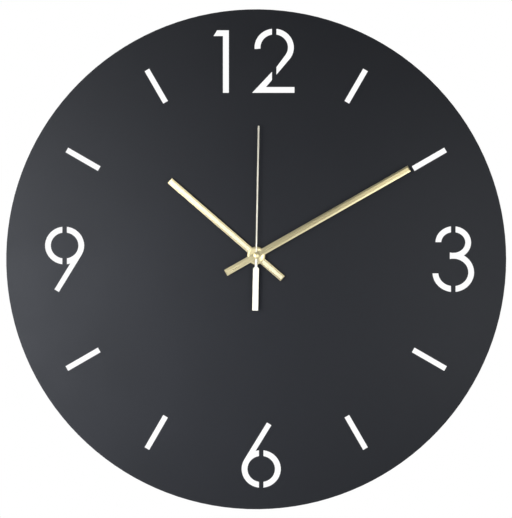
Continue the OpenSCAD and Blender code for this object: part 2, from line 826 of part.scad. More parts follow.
module centre_wheel() color("#efe9da") upright() difference() {
  toothed(centre_teeth, centre_module, layer_z(3), third_bearing, gap = true);
  disc(sleeve_r + run_gap, wheel_t + 2 * cut, layer_z(3) - cut);
}

module minute_cannon() {
  back = layer_z(3) - layer_gap / 2;
  rim_t = 0.15;
  rim_w = 0.7;
  color("#c8a95a") upright() difference() {
    union() {
      disc(minute_tube_d / 2, minute_tube_end - back, back);
      disc(sleeve_r, layer_z(4) - back, back);
      disc(sleeve_r + rim_w, rim_t, back);
      toothed(cannon_teeth, cannon_module, layer_z(4), motion_bearing);
    }
    disc(second_arbor_d / 2 + run_gap, minute_tube_end - back + 2 * cut, back - cut);
  }
}

module motion_wheel() color("#efe9da") upright() place(motion_at, 0) {
  disc(motion_arbor_d / 2, room_front - knob_seat_z - end_play, knob_seat_z);
  disc(pivot_d / 2, case_wall / 2 + cut, room_front - cut);
  toothed(motion_wheel_teeth, cannon_module, layer_z(4), motion_bearing + 180, gap = true);
  toothed(motion_pinion_teeth, hour_module, layer_z(5), motion_bearing + 180);
  disc((motion_pinion_teeth / 2 - dedendum) * hour_module, layer_gap, layer_z(4) + wheel_t);
}

module hour_wheel() color("#efe9da") upright() difference() {
  union() {
    toothed(hour_teeth, hour_module, layer_z(5), motion_bearing, gap = true);
    disc(hour_tube_d / 2, hour_tube_end - layer_z(5), layer_z(5));
  }
  disc(minute_tube_d / 2 + run_gap, hour_tube_end - layer_z(5) + 2 * cut, layer_z(5) - cut);
}

module set_knob() {
  grips = 24;
  grip_r = 0.5;
  color("#d9d6cb") upright() place(motion_at, 0) difference() {
    disc(knob_d / 2, knob_t, knob_back);
    for (i = [0:grips - 1]) place(polar(knob_d / 2, i * 360 / grips), knob_back - cut)
      cylinder(r = grip_r, h = knob_t + 2 * cut, $fn = 16);
    disc(motion_arbor_d / 2, knob_t + cut, knob_seat_z);
  }
}

// ---- battery and contacts ----

contact_y = battery_y - contact_h / 2;
contact_z = battery_z - contact_w / 2;

// Riser along the end wall, from the contact up past the bay's wall
module riser(x, to_y) block([x, contact_y, train_z], [x + strip_t, to_y, train_z + riser_w]);

module contact_positive() {
  x = room_half_w - strip_t;
  feed_low = room_bottom + seat_gap;
  color("#c9cdd2") upright() {
    block([x, contact_y, contact_z], [x + strip_t, contact_y + contact_h, contact_z + contact_w]);
    riser(x, feed_low + strip_w);
    block([feed_x, feed_low, train_z], [x + strip_t, feed_low + strip_w, train_z + strip_t]);
    block([feed_x, feed_low, train_z], [feed_x + strip_w, board_y, train_z + strip_t]);
  }
}

// Flat strip with a leaf that bows out to the battery's flat end
module contact_negative() {
  x = -room_half_w;
  leaf_w = 4;
  color("#c9cdd2") upright() {
    block([x, contact_y, contact_z], [x + strip_t, contact_y + contact_h, contact_z + contact_w]);
    riser(x, board_y + board_l / 2);
    translate([0, 0, battery_z - leaf_w / 2]) linear_extrude(leaf_w) polygon([
      [x, contact_y], [x + strip_t, contact_y], [x + strip_t + spring_l, battery_y - 1],
      [x + strip_t + spring_l, battery_y + 1], [x + strip_t, contact_y + contact_h],
      [x, contact_y + contact_h], [x, contact_y + contact_h - strip_t],
      [x + spring_l, battery_y + 1 - strip_t], [x + spring_l, battery_y - 1 + strip_t],
      [x, contact_y + strip_t]]);
  }
}

// Everything of the battery is drawn along x, from its flat end to its nub
module along_battery(r, from, to)
  translate([strip_t + spring_l - room_half_w + from, battery_y, battery_z])
    rotate([0, 90, 0]) cylinder(r = r, h = to - from);

battery_body_l = battery_l - nub_h;
sleeve_end = 0.4;

module battery_can() color("#d0d2d4") upright() {
  along_battery(battery_d / 2 - sleeve_t, 0, battery_body_l);
  along_battery(nub_d / 2, battery_body_l, battery_l);
}

module battery_sleeve() color("#3b3f45") upright() difference() {
  along_battery(battery_d / 2, sleeve_end, battery_body_l - sleeve_end);
  along_battery(battery_d / 2 - sleeve_t, 0, battery_l);
}

dial_plate();
hour_hand_blade();
hour_hand_collet();
minute_hand_blade();
minute_hand_collet();
second_hand_blade();
second_hand_cap();
shaft_nut();
shaft_washer();
rubber_gasket();
hanger_plate();
case_front();
case_back();
threaded_bush();
gear_plate();
circuit_board();
chip_blob();
quartz_crystal();
coil_bobbin();
coil_winding();
coil_core();
stator_plate();
stator_screws();
rotor_magnet();
rotor_pinion();
fifth_wheel();
second_wheel();
third_wheel();
centre_wheel();
minute_cannon();
motion_wheel();
hour_wheel();
set_knob();
contact_positive();
contact_negative();
battery_can();
battery_sleeve();
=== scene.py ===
import math

import bmesh
import bpy
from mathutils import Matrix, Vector


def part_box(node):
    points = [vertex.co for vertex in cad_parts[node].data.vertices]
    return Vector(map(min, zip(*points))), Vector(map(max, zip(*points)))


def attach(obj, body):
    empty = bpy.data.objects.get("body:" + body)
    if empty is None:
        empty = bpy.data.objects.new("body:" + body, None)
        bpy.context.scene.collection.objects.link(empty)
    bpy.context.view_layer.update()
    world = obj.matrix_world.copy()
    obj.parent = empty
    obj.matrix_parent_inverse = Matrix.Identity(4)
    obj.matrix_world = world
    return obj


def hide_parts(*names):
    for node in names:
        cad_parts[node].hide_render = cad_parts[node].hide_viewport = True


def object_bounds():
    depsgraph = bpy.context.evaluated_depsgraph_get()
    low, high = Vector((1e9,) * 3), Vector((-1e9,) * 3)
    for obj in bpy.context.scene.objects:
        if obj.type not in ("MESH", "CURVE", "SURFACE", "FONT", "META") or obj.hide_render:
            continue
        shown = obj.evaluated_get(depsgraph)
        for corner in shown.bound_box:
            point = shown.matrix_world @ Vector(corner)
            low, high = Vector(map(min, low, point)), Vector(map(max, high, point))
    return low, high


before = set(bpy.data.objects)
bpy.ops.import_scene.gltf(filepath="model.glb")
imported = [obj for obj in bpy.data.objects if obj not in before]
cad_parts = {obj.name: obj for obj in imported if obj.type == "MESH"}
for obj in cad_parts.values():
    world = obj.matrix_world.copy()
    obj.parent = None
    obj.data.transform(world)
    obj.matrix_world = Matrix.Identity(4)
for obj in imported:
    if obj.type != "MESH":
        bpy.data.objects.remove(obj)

CAD_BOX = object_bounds()
MM = 0.001

# Where the hands stand, in degrees clockwise from the top
HOUR_ANGLE = 310.94
MINUTE_ANGLE = 60.35
SECOND_ANGLE = 1.1

# Scale at which one band of a wave pattern is one unit wide
ONE_BAND = 0.314

# ---- finishes ----


class Finish:
    """A material in the making: a Principled shader and the patterns that feed it."""

    def __init__(self, name, colour, roughness, metallic=0.0, **even):
        self.material = bpy.data.materials.new(name)
        self.material.use_nodes = True
        tree = self.material.node_tree
        self.nodes = tree.nodes
        self.link = tree.links.new
        self.shader = tree.nodes["Principled BSDF"]
        self.colour = colour
        self.roughness = roughness
        self.shader.inputs["Base Color"].default_value = (*colour, 1)
        self.shader.inputs["Roughness"].default_value = roughness
        self.shader.inputs["Metallic"].default_value = metallic
        for socket, value in even.items():
            self.shader.inputs[socket.replace("_", " ")].default_value = value
        self.place = self.nodes.new("ShaderNodeTexCoord").outputs["Object"]

    def mapped(self, size, turn=0.0):
        """Object coordinates in units of size, turned clockwise about the hands' axis."""
        mapping = self.nodes.new("ShaderNodeMapping")
        mapping.vector_type = "TEXTURE"
        mapping.inputs["Rotation"].default_value = (0, math.radians(turn), 0)
        mapping.inputs["Scale"].default_value = size
        self.link(self.place, mapping.inputs["Vector"])
        return mapping.outputs["Vector"]

    def mottle(self, size, detail=3.0, turn=0.0):
        """Soft noise whose blobs have that size in metres along x, y and z."""
        noise = self.nodes.new("ShaderNodeTexNoise")
        noise.inputs["Scale"].default_value = 1
        noise.inputs["Detail"].default_value = detail
        self.link(self.mapped(size, turn), noise.inputs["Vector"])
        return noise.outputs["Fac"]

    def crystals(self, size):
        """One random value to each crystal of about that size."""
        cells = self.nodes.new("ShaderNodeTexVoronoi")
        cells.inputs["Scale"].default_value = 1
        self.link(self.mapped((size,) * 3), cells.inputs["Vector"])
        return cells.outputs["Color"]

    def bands(self, size, across, bend=0.0):
        """Soft bands of that width, one after another along an axis, wandering by bend."""
        wave = self.nodes.new("ShaderNodeTexWave")
        wave.bands_direction = across
        wave.inputs["Scale"].default_value = ONE_BAND
        wave.inputs["Distortion"].default_value = bend
        self.link(self.mapped(size), wave.inputs["Vector"])
        return wave.outputs["Fac"]

    def ring(self, start, end):
        """A sharp-edged ring from start to end along x."""
        axes = self.nodes.new("ShaderNodeSeparateXYZ")
        self.link(self.place, axes.inputs["Vector"])
        width = self.nodes.new("ShaderNodeMath")
        width.operation = "COMPARE"
        width.inputs[1].default_value = (start + end) / 2
        width.inputs[2].default_value = (end - start) / 2
        self.link(axes.outputs["X"], width.inputs[0])
        return width.outputs["Value"]

    def between(self, value, low, high):
        """A pattern's value, which mostly lies from 0.3 to 0.7, spread from low to high."""
        spread = self.nodes.new("ShaderNodeMapRange")
        limits = {"From Min": 0.3, "From Max": 0.7, "To Min": low, "To Max": high}
        for socket, limit in limits.items():
            spread.inputs[socket].default_value = limit
        self.link(value, spread.inputs["Value"])
        return spread.outputs["Result"]

    def vary_roughness(self, value, amount):
        """Roughness wanders by amount to each side."""
        low, high = self.roughness - amount, self.roughness + amount
        self.link(self.between(value, low, high), self.shader.inputs["Roughness"])

    def vary_colour(self, value, other, share=1.0):
        """Colour wanders towards other, by share at most."""
        mix = self.nodes.new("ShaderNodeMix")
        mix.data_type = "RGBA"
        mix.inputs["A"].default_value = (*self.colour, 1)
        mix.inputs["B"].default_value = (*other, 1)
        self.link(self.between(value, 0, share), mix.inputs["Factor"])
        self.link(mix.outputs["Result"], self.shader.inputs["Base Color"])

    def emboss(self, value, depth, strength):
        """Raises the surface by value times depth, on top of what is embossed already."""
        bump = self.nodes.new("ShaderNodeBump")
        bump.inputs["Distance"].default_value = depth
        bump.inputs["Strength"].default_value = strength
        self.link(value, bump.inputs["Height"])
        normal = self.shader.inputs["Normal"]
        if normal.is_linked:
            self.link(normal.links[0].from_socket, bump.inputs["Normal"])
        self.link(bump.outputs["Normal"], normal)


def dial_powder_coat():
    """Satin black powder coat: fine grain over a soft orange peel."""
    coat = Finish("dial_powder_coat", (0.002, 0.0022, 0.0028), 0.4,
                  Specular_IOR_Level=0.25, Specular_Tint=(0.88, 0.92, 1.0, 1))
    grain = coat.mottle((0.45 * MM,) * 3, 2.0)
    peel = coat.mottle((2.4 * MM,) * 3, 1.0)
    cloud = coat.mottle((60 * MM,) * 3, 4.0)
    coat.vary_roughness(cloud, 0.018)
    coat.vary_colour(grain, (0.006, 0.0065, 0.008))
    coat.emboss(peel, 0.03 * MM, 0.35)
    coat.emboss(grain, 0.02 * MM, 0.5)
    return coat.material


def brushed_gold(name, colour, roughness, angle, stretch=0.65):
    """Satin anodised aluminium, brushed along the hand, so that it glints across the brushing."""
    gold = Finish(name, colour, roughness, metallic=1.0, Anisotropic=stretch)
    across = gold.nodes.new("ShaderNodeTangent")
    across.direction_type = "UV_MAP"
    across.uv_map = "across"
    gold.link(across.outputs[0], gold.shader.inputs["Tangent"])
    scratch = gold.mottle((0.1 * MM, 0.1 * MM, 7 * MM), 2.0, angle)
    streak = gold.mottle((0.5 * MM, 0.5 * MM, 26 * MM), 3.0, angle)
    gold.vary_roughness(streak, 0.04)
    gold.vary_colour(streak, tuple(0.92 * c for c in colour), 0.6)
    gold.emboss(scratch, 0.006 * MM, 0.4)
    return gold.material


def plated_brass(name, colour, roughness):
    """Gold plating over turned brass."""
    tarnish = (0.93, 0.89, 0.82)
    plate = Finish(name, colour, roughness, metallic=1.0)
    cloud = plate.mottle((1.5 * MM,) * 3)
    plate.vary_roughness(cloud, 0.05)
    plate.vary_colour(cloud, tuple(t * c for t, c in zip(tarnish, colour)), 0.5)
    plate.emboss(plate.mottle((0.3 * MM,) * 3), 0.01 * MM, 0.3)
    return plate.material


def bare_brass():
    """Turned brass, left bare."""
    brass = Finish("brass", (0.78, 0.58, 0.28), 0.25, metallic=1.0)
    cloud = brass.mottle((1.2 * MM,) * 3)
    brass.vary_roughness(cloud, 0.07)
    brass.vary_colour(cloud, (0.66, 0.46, 0.2), 0.6)
    brass.emboss(brass.mottle((3 * MM, 0.15 * MM, 3 * MM)), 0.01 * MM, 0.4)
    return brass.material


def galvanised_steel():
    """Zinc-coated sheet: dull crystals of different brightness, with rolling lines under them."""
    zinc = Finish("galvanised_steel", (0.5, 0.51, 0.53), 0.46, metallic=1.0)
    crystals = zinc.crystals(2.2 * MM)
    rolling = zinc.mottle((0.15 * MM, 0.15 * MM, 12 * MM))
    zinc.vary_roughness(crystals, 0.1)
    zinc.vary_colour(crystals, (0.36, 0.37, 0.385), 0.8)
    zinc.emboss(rolling, 0.02 * MM, 0.4)
    zinc.emboss(crystals, 0.01 * MM, 0.3)
    return zinc.material


def spark_textured(name, colour, roughness, grain):
    """Moulded plastic with the fine even grain of a spark-eroded tool."""
    plastic = Finish(name, colour, roughness)
    sparks = plastic.mottle((grain,) * 3, 2.0)
    cloud = plastic.mottle((14 * MM,) * 3)
    handled = tuple(0.6 * c + 0.012 for c in colour)
    plastic.vary_roughness(cloud, 0.06)
    plastic.vary_colour(cloud, handled, 0.5)
    plastic.emboss(sparks, 0.05 * MM, 0.6)
    return plastic.material


def moulded(name, colour, roughness, flow):
    """Smooth moulded plastic: faint flow lines, and a glow where it is thin."""
    plastic = Finish(name, colour, roughness, Subsurface_Weight=0.12, Subsurface_Scale=0.8 * MM)
    lines = plastic.mottle(flow, 2.0)
    cloud = plastic.mottle((3 * MM,) * 3)
    plastic.vary_roughness(cloud, 0.06)
    plastic.vary_colour(lines, tuple(0.86 * c for c in colour), 0.5)
    plastic.emboss(lines, 0.01 * MM, 0.4)
    return plastic.material


def black_rubber():
    """Punched rubber sheet, dull and slightly dusty."""
    rubber = Finish("black_rubber", (0.018, 0.018, 0.019), 0.8)
    grain = rubber.mottle((0.3 * MM,) * 3, 4.0)
    dust = rubber.mottle((2 * MM,) * 3, 4.0)
    rubber.vary_roughness(dust, 0.08)
    rubber.vary_colour(dust, (0.06, 0.058, 0.055), 0.35)
    rubber.emboss(grain, 0.06 * MM, 0.6)
    return rubber.material


def solder_mask():
    """Green solder mask over woven glass, lighter where copper tracks lie under it."""
    mask = Finish("board_green", (0.012, 0.11, 0.04), 0.28, Coat_Weight=0.3)
    weave = mask.bands((0.5 * MM,) * 3, "X")
    tracks = mask.bands((2.6 * MM,) * 3, "Z", bend=5.0)
    mask.vary_colour(tracks, (0.035, 0.22, 0.07), 0.9)
    mask.vary_roughness(tracks, 0.05)
    mask.emboss(weave, 0.01 * MM, 0.3)
    mask.emboss(tracks, 0.035 * MM, 0.5)
    return mask.material


def potting_epoxy():
    """Glossy black drop of potting resin."""
    resin = Finish("epoxy_black", (0.01, 0.01, 0.011), 0.16)
    skin = resin.mottle((1.1 * MM,) * 3)
    resin.vary_roughness(skin, 0.06)
    resin.vary_colour(skin, (0.02, 0.02, 0.021))
    resin.emboss(skin, 0.05 * MM, 0.3)
    return resin.material


def enamelled_copper():
    """Copper wire under clear enamel."""
    wire = Finish("copper_wire", (0.74, 0.31, 0.13), 0.26, metallic=1.0, Coat_Weight=0.6)
    cloud = wire.mottle((0.9 * MM,) * 3)
    wire.vary_roughness(cloud, 0.06)
    wire.vary_colour(cloud, (0.6, 0.22, 0.09), 0.6)
    wire.emboss(wire.mottle((0.2 * MM,) * 3), 0.01 * MM, 0.4)
    return wire.material


def soft_iron():
    """Stamped soft iron, annealed to a dull grey blue."""
    iron = Finish("core_iron", (0.36, 0.37, 0.4), 0.42, metallic=1.0)
    bloom = iron.mottle((1.6 * MM,) * 3, 4.0)
    iron.vary_roughness(bloom, 0.1)
    iron.vary_colour(bloom, (0.27, 0.25, 0.26), 0.7)
    iron.emboss(iron.mottle((4 * MM, 0.1 * MM, 0.1 * MM)), 0.015 * MM, 0.4)
    return iron.material


def bright_steel():
    """Polished plated steel with faint turning marks."""
    steel = Finish("bright_steel", (0.7, 0.71, 0.73), 0.2, metallic=1.0)
    cloud = steel.mottle((1 * MM,) * 3)
    steel.vary_roughness(cloud, 0.06)
    steel.vary_colour(cloud, (0.6, 0.6, 0.61), 0.5)
    steel.emboss(steel.mottle((0.1 * MM, 2 * MM, 0.1 * MM)), 0.01 * MM, 0.4)
    return steel.material


def sintered_magnet():
    """Dark sintered magnet with fine open grain."""
    magnet = Finish("magnet_ferrite", (0.11, 0.11, 0.12), 0.55, metallic=0.6)
    grain = magnet.mottle((0.15 * MM,) * 3, 4.0)
    magnet.vary_roughness(grain, 0.1)
    magnet.vary_colour(grain, (0.06, 0.06, 0.065))
    magnet.emboss(grain, 0.04 * MM, 0.6)
    return magnet.material


def nickel(name, colour, lines):
    """Nickel-plated sheet with drawing lines and a little haze."""
    plate = Finish(name, colour, 0.26, metallic=1.0)
    haze = plate.mottle((2.5 * MM,) * 3, 4.0)
    plate.vary_roughness(haze, 0.08)
    plate.vary_colour(haze, tuple(0.84 * c for c in colour), 0.7)
    plate.emboss(plate.mottle(lines), 0.015 * MM, 0.5)
    return plate.material


def shrink_sleeve(ring_from, ring_to):
    """Dark printed shrink sleeve, glossy, with one light ring printed round its positive end."""
    sleeve = Finish("printed_sleeve", (0.03, 0.034, 0.042), 0.3, Coat_Weight=0.5,
                    Coat_Roughness=0.08)
    wrinkle = sleeve.mottle((6 * MM, 1.4 * MM, 1.4 * MM), 2.0)
    sleeve.vary_roughness(wrinkle, 0.05)
    sleeve.vary_colour(sleeve.ring(ring_from, ring_to), (0.62, 0.63, 0.62))
    sleeve.emboss(wrinkle, 0.05 * MM, 0.4)
    return sleeve.material


# ---- meshes ----


def placed(name, mesh):
    """A new object of a mesh, at the origin."""
    piece = bpy.data.objects.new(name, mesh)
    bpy.context.scene.collection.objects.link(piece)
    return piece


def meshed(name, corners, faces):
    """A new object of corners and faces, with its faces turned outwards."""
    mesh = bpy.data.meshes.new(name)
    mesh.from_pydata(corners, [], faces)
    work = bmesh.new()
    work.from_mesh(mesh)
    bmesh.ops.remove_doubles(work, verts=work.verts, dist=0.001 * MM)
    bmesh.ops.recalc_face_normals(work, faces=work.faces)
    work.to_mesh(mesh)
    work.free()
    return placed(name, mesh)


def settled(piece):
    """The piece with its modifiers worked into its mesh."""
    evaluated = piece.evaluated_get(bpy.context.evaluated_depsgraph_get())
    mesh = bpy.data.meshes.new_from_object(evaluated)
    name = piece.name
    bpy.data.objects.remove(piece)
    mesh.name = name
    return placed(name, mesh)


def whole_faces(node):
    """A mesh of a CAD node with its loose triangles joined into whole flat faces."""
    mesh = bpy.data.meshes.new(node)
    work = bmesh.new()
    work.from_mesh(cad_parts[node].data)
    bmesh.ops.remove_doubles(work, verts=work.verts, dist=0.002 * MM)
    bmesh.ops.dissolve_limit(
        work, angle_limit=math.radians(0.3), verts=work.verts, edges=work.edges
    )
    work.to_mesh(mesh)
    work.free()
    return mesh


def softened(piece, smooth_below):
    """Shades a piece smooth but for its sharp edges, and keeps its large faces flat."""
    piece.data.shade_smooth()
    piece.data.set_sharp_from_angle(angle=math.radians(smooth_below))
    flat = piece.modifiers.new("flat_faces", "WEIGHTED_NORMAL")
    flat.keep_sharp = True
    return piece


def ease(piece, width, smooth_below):
    """Eases a piece's edges, where they turn by more than smooth_below, to that width."""
    bevel = piece.modifiers.new("eased_edges", "BEVEL")
    bevel.width = width
    bevel.segments = 2
    bevel.limit_method = "ANGLE"
    bevel.angle_limit = math.radians(smooth_below)
    return softened(piece, smooth_below)


def eased(node, name, width, smooth_below):
    """The CAD node again with its sharp edges eased to that width."""
    return ease(placed(name, whole_faces(node)), width, smooth_below)


def prisms(name, outlines, back, front):
    """Upright prisms from y = back to y = front, on outlines of (x, z) points."""
    corners, faces = [], []
    for outline in outlines:
        first, count = len(corners), len(outline)
        corners += [(x, back, z) for x, z in outline] + [(x, front, z) for x, z in outline]
        rear = list(range(first, first + count))
        fore = [corner + count for corner in rear]
        faces += [rear, fore]
        faces += [(rear[i - 1], rear[i], fore[i], fore[i - 1]) for i in range(count)]
    return meshed(name, corners, faces)


def cut_away(piece, cutter):
    """The piece less the cutter."""
    cut = piece.modifiers.new("cut_away", "BOOLEAN")
    cut.operation = "DIFFERENCE"
    cut.solver = "EXACT"
    cut.object = cutter
    piece = settled(piece)
    bpy.data.objects.remove(cutter)
    return piece


def box_outline(low, high):
    """A rectangle from its low corner to its high corner, as (x, z) points."""
    return [(low[0], low[1]), (high[0], low[1]), (high[0], high[1]), (low[0], high[1])]


def round_outline(middle, radius):
    """A circle, as (x, z) points."""
    steps = 32
    turns = [2 * math.pi * i / steps for i in range(steps)]
    return [(middle[0] + radius * math.cos(a), middle[1] + radius * math.sin(a)) for a in turns]


def hoops(rings, steps, closed):
    """Faces from each ring of corners to the next, and from the last to the first if closed."""
    faces = []
    for ring in range(rings if closed else rings - 1):
        here, there = ring * steps, (ring + 1) % rings * steps
        faces += [
            (here + i, here + (i + 1) % steps, there + (i + 1) % steps, there + i)
            for i in range(steps)
        ]
    return faces


def turned(name, outline, middle, axis, steps=64):
    """A lathe piece: outline of (along, radius) pairs, closed on itself or ending on the axis.

    Along is to the right on an X axis, and to the front on a Y axis.
    """
    ahead, side = ((1, 0, 0), (0, 1, 0)) if axis == "X" else ((0, -1, 0), (1, 0, 0))
    up = (0, 0, 1)
    corners = []
    for along, radius in outline:
        for i in range(steps):
            turn = 2 * math.pi * i / steps
            corners.append(tuple(
                middle[k] + along * ahead[k]
                + radius * (math.cos(turn) * side[k] + math.sin(turn) * up[k])
                for k in range(3)
            ))
    closed = outline[0][1] > 0
    return meshed(name, corners, hoops(len(outline), steps, closed))


class Recipe:
    """A Geometry Nodes tree in the making; its sizes are named inputs."""

    def __init__(self, name, **sizes):
        self.tree = bpy.data.node_groups.new(name, "GeometryNodeTree")
        sockets = self.tree.interface
        sockets.new_socket("Geometry", in_out="OUTPUT", socket_type="NodeSocketGeometry")
        sockets.new_socket("Points", in_out="INPUT", socket_type="NodeSocketGeometry")
        self.inputs = {}
        for size, value in sizes.items():
            kind = "NodeSocketInt" if isinstance(value, int) else "NodeSocketFloat"
            socket = sockets.new_socket(size, in_out="INPUT", socket_type=kind)
            self.inputs[socket.identifier] = value
        self.size = self.tree.nodes.new("NodeGroupInput").outputs

    def node(self, kind, **values):
        """A node whose sockets get numbers, or other nodes' sockets."""
        made = self.tree.nodes.new(kind)
        for socket, value in values.items():
            socket = made.inputs[socket.replace("_", " ")]
            if isinstance(value, bpy.types.NodeSocket):
                self.tree.links.new(value, socket)
            else:
                socket.default_value = value
        return made

    def serve(self, name, geometry, material, points=()):
        """The finished piece, as a plain mesh."""
        real = self.node("GeometryNodeRealizeInstances", Geometry=geometry)
        dressed = self.node("GeometryNodeSetMaterial", Geometry=real.outputs[0])
        dressed.inputs["Material"].default_value = material
        end = self.tree.nodes.new("NodeGroupOutput")
        self.tree.links.new(dressed.outputs[0], end.inputs[0])
        mesh = bpy.data.meshes.new(name)
        mesh.from_pydata(points, [], [])
        piece = placed(name, mesh)
        modifier = piece.modifiers.new("recipe", "NODES")
        modifier.node_group = self.tree
        for identifier, value in self.inputs.items():
            modifier[identifier] = value
        return settled(piece)


def finished(piece, material, body, slot, *nodes):
    """Gives a piece its finish, the body that it rides on and the CAD nodes it stands for."""
    piece.data.materials.clear()
    piece.data.materials.append(material)
    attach(piece, body)
    if nodes:
        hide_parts(*nodes)


def coated(material, *nodes):
    """Gives CAD nodes, whose shapes are right as they are, their finish."""
    for node in nodes:
        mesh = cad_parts[node].data
        mesh.materials.clear()
        mesh.materials.append(material)


# ---- the clock's face ----


def dial():
    """The powder-coated sheet with its cut-out numerals and marks."""
    sheet = eased("dial_plate", "dial_sheet", 0.25 * MM, 25)
    finished(sheet, dial_powder_coat(), "clock_body", "dial_powder_coat", "dial_plate")


def ruled(piece, angle):
    """Lays a map on a hand that lies at that angle: u runs across it, v along it."""
    across_scale, along_scale, middle = 100, 5, 0.5
    turn = math.radians(angle)
    across = Vector((math.cos(turn), 0, -math.sin(turn)))
    along = Vector((math.sin(turn), 0, math.cos(turn)))
    mesh = piece.data
    rule = mesh.uv_layers.new(name="across")
    for loop in mesh.loops:
        corner = mesh.vertices[loop.vertex_index].co
        rule.uv[loop.index].vector = (corner.dot(across) * across_scale + middle,
                                      corner.dot(along) * along_scale + middle)
    return piece


def hands():
    """Two gold bars with painted light in their colours, and a pale needle: minute bar, eyes and
    hour facets painted darker, minute facets lighter; eyes and facets also take their own
    roughness.
    """
    champagne = (0.79, 0.7, 0.43)
    # painted shade: the minute bar is the same gold as the hour bar, painted darker
    minute_painted_shade = (0.69, 0.6, 0.335)
    # painted shade: the hour bar's facets are the same gold, painted darker
    facet_painted_shade = (0.69, 0.61, 0.37)
    # painted shade: both eyes are the same gold, painted darker; they are also rougher and less
    # brushed
    eye_painted_shade = (0.68, 0.6, 0.35)
    facet_slope = 8
    nearly_flat = math.cos(math.radians(facet_slope))
    eye_r = 7 * MM
    on_eye, on_facet = 1, 2
    for node, name, angle, body, colour, edge_colour, edge_roughness in (
        ("hour_hand_blade", "hour_blade", HOUR_ANGLE, "hours", champagne, facet_painted_shade, 0.25),
        # painted highlight: the minute bar's facets take the lighter hour gold
        ("minute_hand_blade", "minute_blade", MINUTE_ANGLE, "minutes", minute_painted_shade, champagne, 0.31),
    ):
        blade = ruled(eased(node, name, 0.05 * MM, facet_slope), angle)
        gold = brushed_gold(name + "_gold", colour, 0.3, angle)
        finished(blade, gold, body, "hand_gold", node)
        blade.data.materials.append(brushed_gold(name + "_eye", eye_painted_shade, 0.42, angle, 0.3))
        facets = brushed_gold(name + "_facets", edge_colour, edge_roughness, angle)
        blade.data.materials.append(facets)
        corners = blade.data.vertices
        for face in blade.data.polygons:
            if all(math.hypot(corners[i].co.x, corners[i].co.z) < eye_r for i in face.vertices):
                face.material_index = on_eye
            elif -face.normal.y < nearly_flat:
                face.material_index = on_facet
    needle = ruled(eased("second_hand_blade", "second_blade", 0.06 * MM, 25), SECOND_ANGLE)
    pale = brushed_gold("second_hand_gold", (0.6, 0.575, 0.475), 0.3, SECOND_ANGLE)
    finished(needle, pale, "seconds", "second_hand_gold", "second_hand_blade")


def hub():
    """Cap, nut, washer, the hands' collets and the bush."""
    plated = plated_brass("gold_plated_brass", (0.84, 0.74, 0.44), 0.38)
    # painted shade: the nut and washer are the cap's gold plating, painted dark for the shade
    # under the hands' eyes
    shaded = plated_brass("painted_shade_plating", (0.34, 0.29, 0.17), 0.5)
    brass = bare_brass()
    for node, name, width, smooth_below, metal, body, slot in (
        ("second_hand_cap", "second_cap", 0.06, 25, plated, "seconds", "gold_plated_brass"),
        ("shaft_nut", "hex_nut", 0.1, 20, shaded, "clock_body", "gold_plated_brass"),
        ("shaft_washer", "thin_washer", 0.08, 30, shaded, "clock_body", "gold_plated_brass"),
        ("hour_hand_collet", "hour_collet", 0.06, 30, brass, "hours", "brass"),
        ("minute_hand_collet", "minute_collet", 0.06, 30, brass, "minutes", "brass"),
    ):
        finished(eased(node, name, width * MM, smooth_below), metal, body, slot, node)
    finished(bush(), brass, "clock_body", "brass", "threaded_bush")
    coated(brass, "minute_cannon")


def bush():
    """Bush with a cut thread in front of the case and a flange inside it."""
    low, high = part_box("threaded_bush")
    back, front = -high.y, -low.y
    case_face = -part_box("case_front")[0].y
    bore = 2.61 * MM
    thread_r, thread_depth, pitch = 4 * MM, 0.42 * MM, 0.75 * MM
    flange_r, flange_t = (high.x - low.x) / 2, 0.7 * MM
    lead_in, lead_in_slope = 0.5 * MM, 0.9
    flank_slope = 1.25
    steps, rows = 64, 112
    turns = [2 * math.pi * i / steps for i in range(steps)]

    def thread(along, turn):
        """The radius that the thread has there."""
        place = (along / pitch + turn / (2 * math.pi)) % 1
        crest = min(1, flank_slope * abs(2 * place - 1))
        taper = max(0, along - front + lead_in) * lead_in_slope
        return min(thread_r - thread_depth * (1 - crest), thread_r - taper)

    plain = [(front, bore), (back, bore), (back, flange_r), (back + flange_t, flange_r),
             (back + flange_t, thread_r), (case_face, thread_r)]
    rings = [(along, [radius] * steps) for along, radius in plain]
    for row in range(1, rows + 1):
        along = case_face + (front - case_face) * row / rows
        rings.append((along, [thread(along, turn) for turn in turns]))
    corners = [(radius * math.cos(turn), -along, radius * math.sin(turn))
               for along, radii in rings for radius, turn in zip(radii, turns)]
    return softened(meshed("threaded_shaft", corners, hoops(len(rings), steps, True)), 35)


# ---- the hanging side ----


def bent(piece, sheet):
    """Rounds the hanger's two bends outside, and the open corner behind its shelf."""
    low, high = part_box("hanger_plate")
    outer_r, inner_r = 1 * MM, 0.4 * MM
    near, same = 0.1 * MM, 0.02 * MM
    work = bmesh.new()
    work.from_mesh(piece.data)
    shelf = min(end.co.z for end in work.verts if high.y - end.co.y < near)
    for y, z, radius in ((high.y, shelf, outer_r), (low.y, shelf + sheet, outer_r),
                         (high.y - sheet, shelf + sheet, inner_r)):
        fold = [edge for edge in work.edges if all(
            abs(end.co.y - y) < same and abs(end.co.z - z) < same for end in edge.verts)]
        bmesh.ops.bevel(work, geom=fold, offset=radius, segments=5, profile=0.5, affect="EDGES")
    work.to_mesh(piece.data)
    work.free()
    return piece


def hanger(rubber):
    """Bent steel hanger with eased shear edges, and the rubber ring in front of it."""
    sheet = 0.8 * MM
    plate = ease(bent(placed("hanger", whole_faces("hanger_plate")), sheet), 0.1 * MM, 30)
    finished(plate, galvanised_steel(), "clock_body", "galvanised_steel", "hanger_plate")
    ring = eased("rubber_gasket", "gasket", 0.2 * MM, 30)
    finished(ring, rubber, "clock_body", "black_rubber", "rubber_gasket")


def clip_heights():
    """Heights of the cover's three clips on each side."""
    low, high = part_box("case_back")
    middle, spacing = (low.z + high.z) / 2, 13 * MM
    return [middle - spacing, middle, middle + spacing]


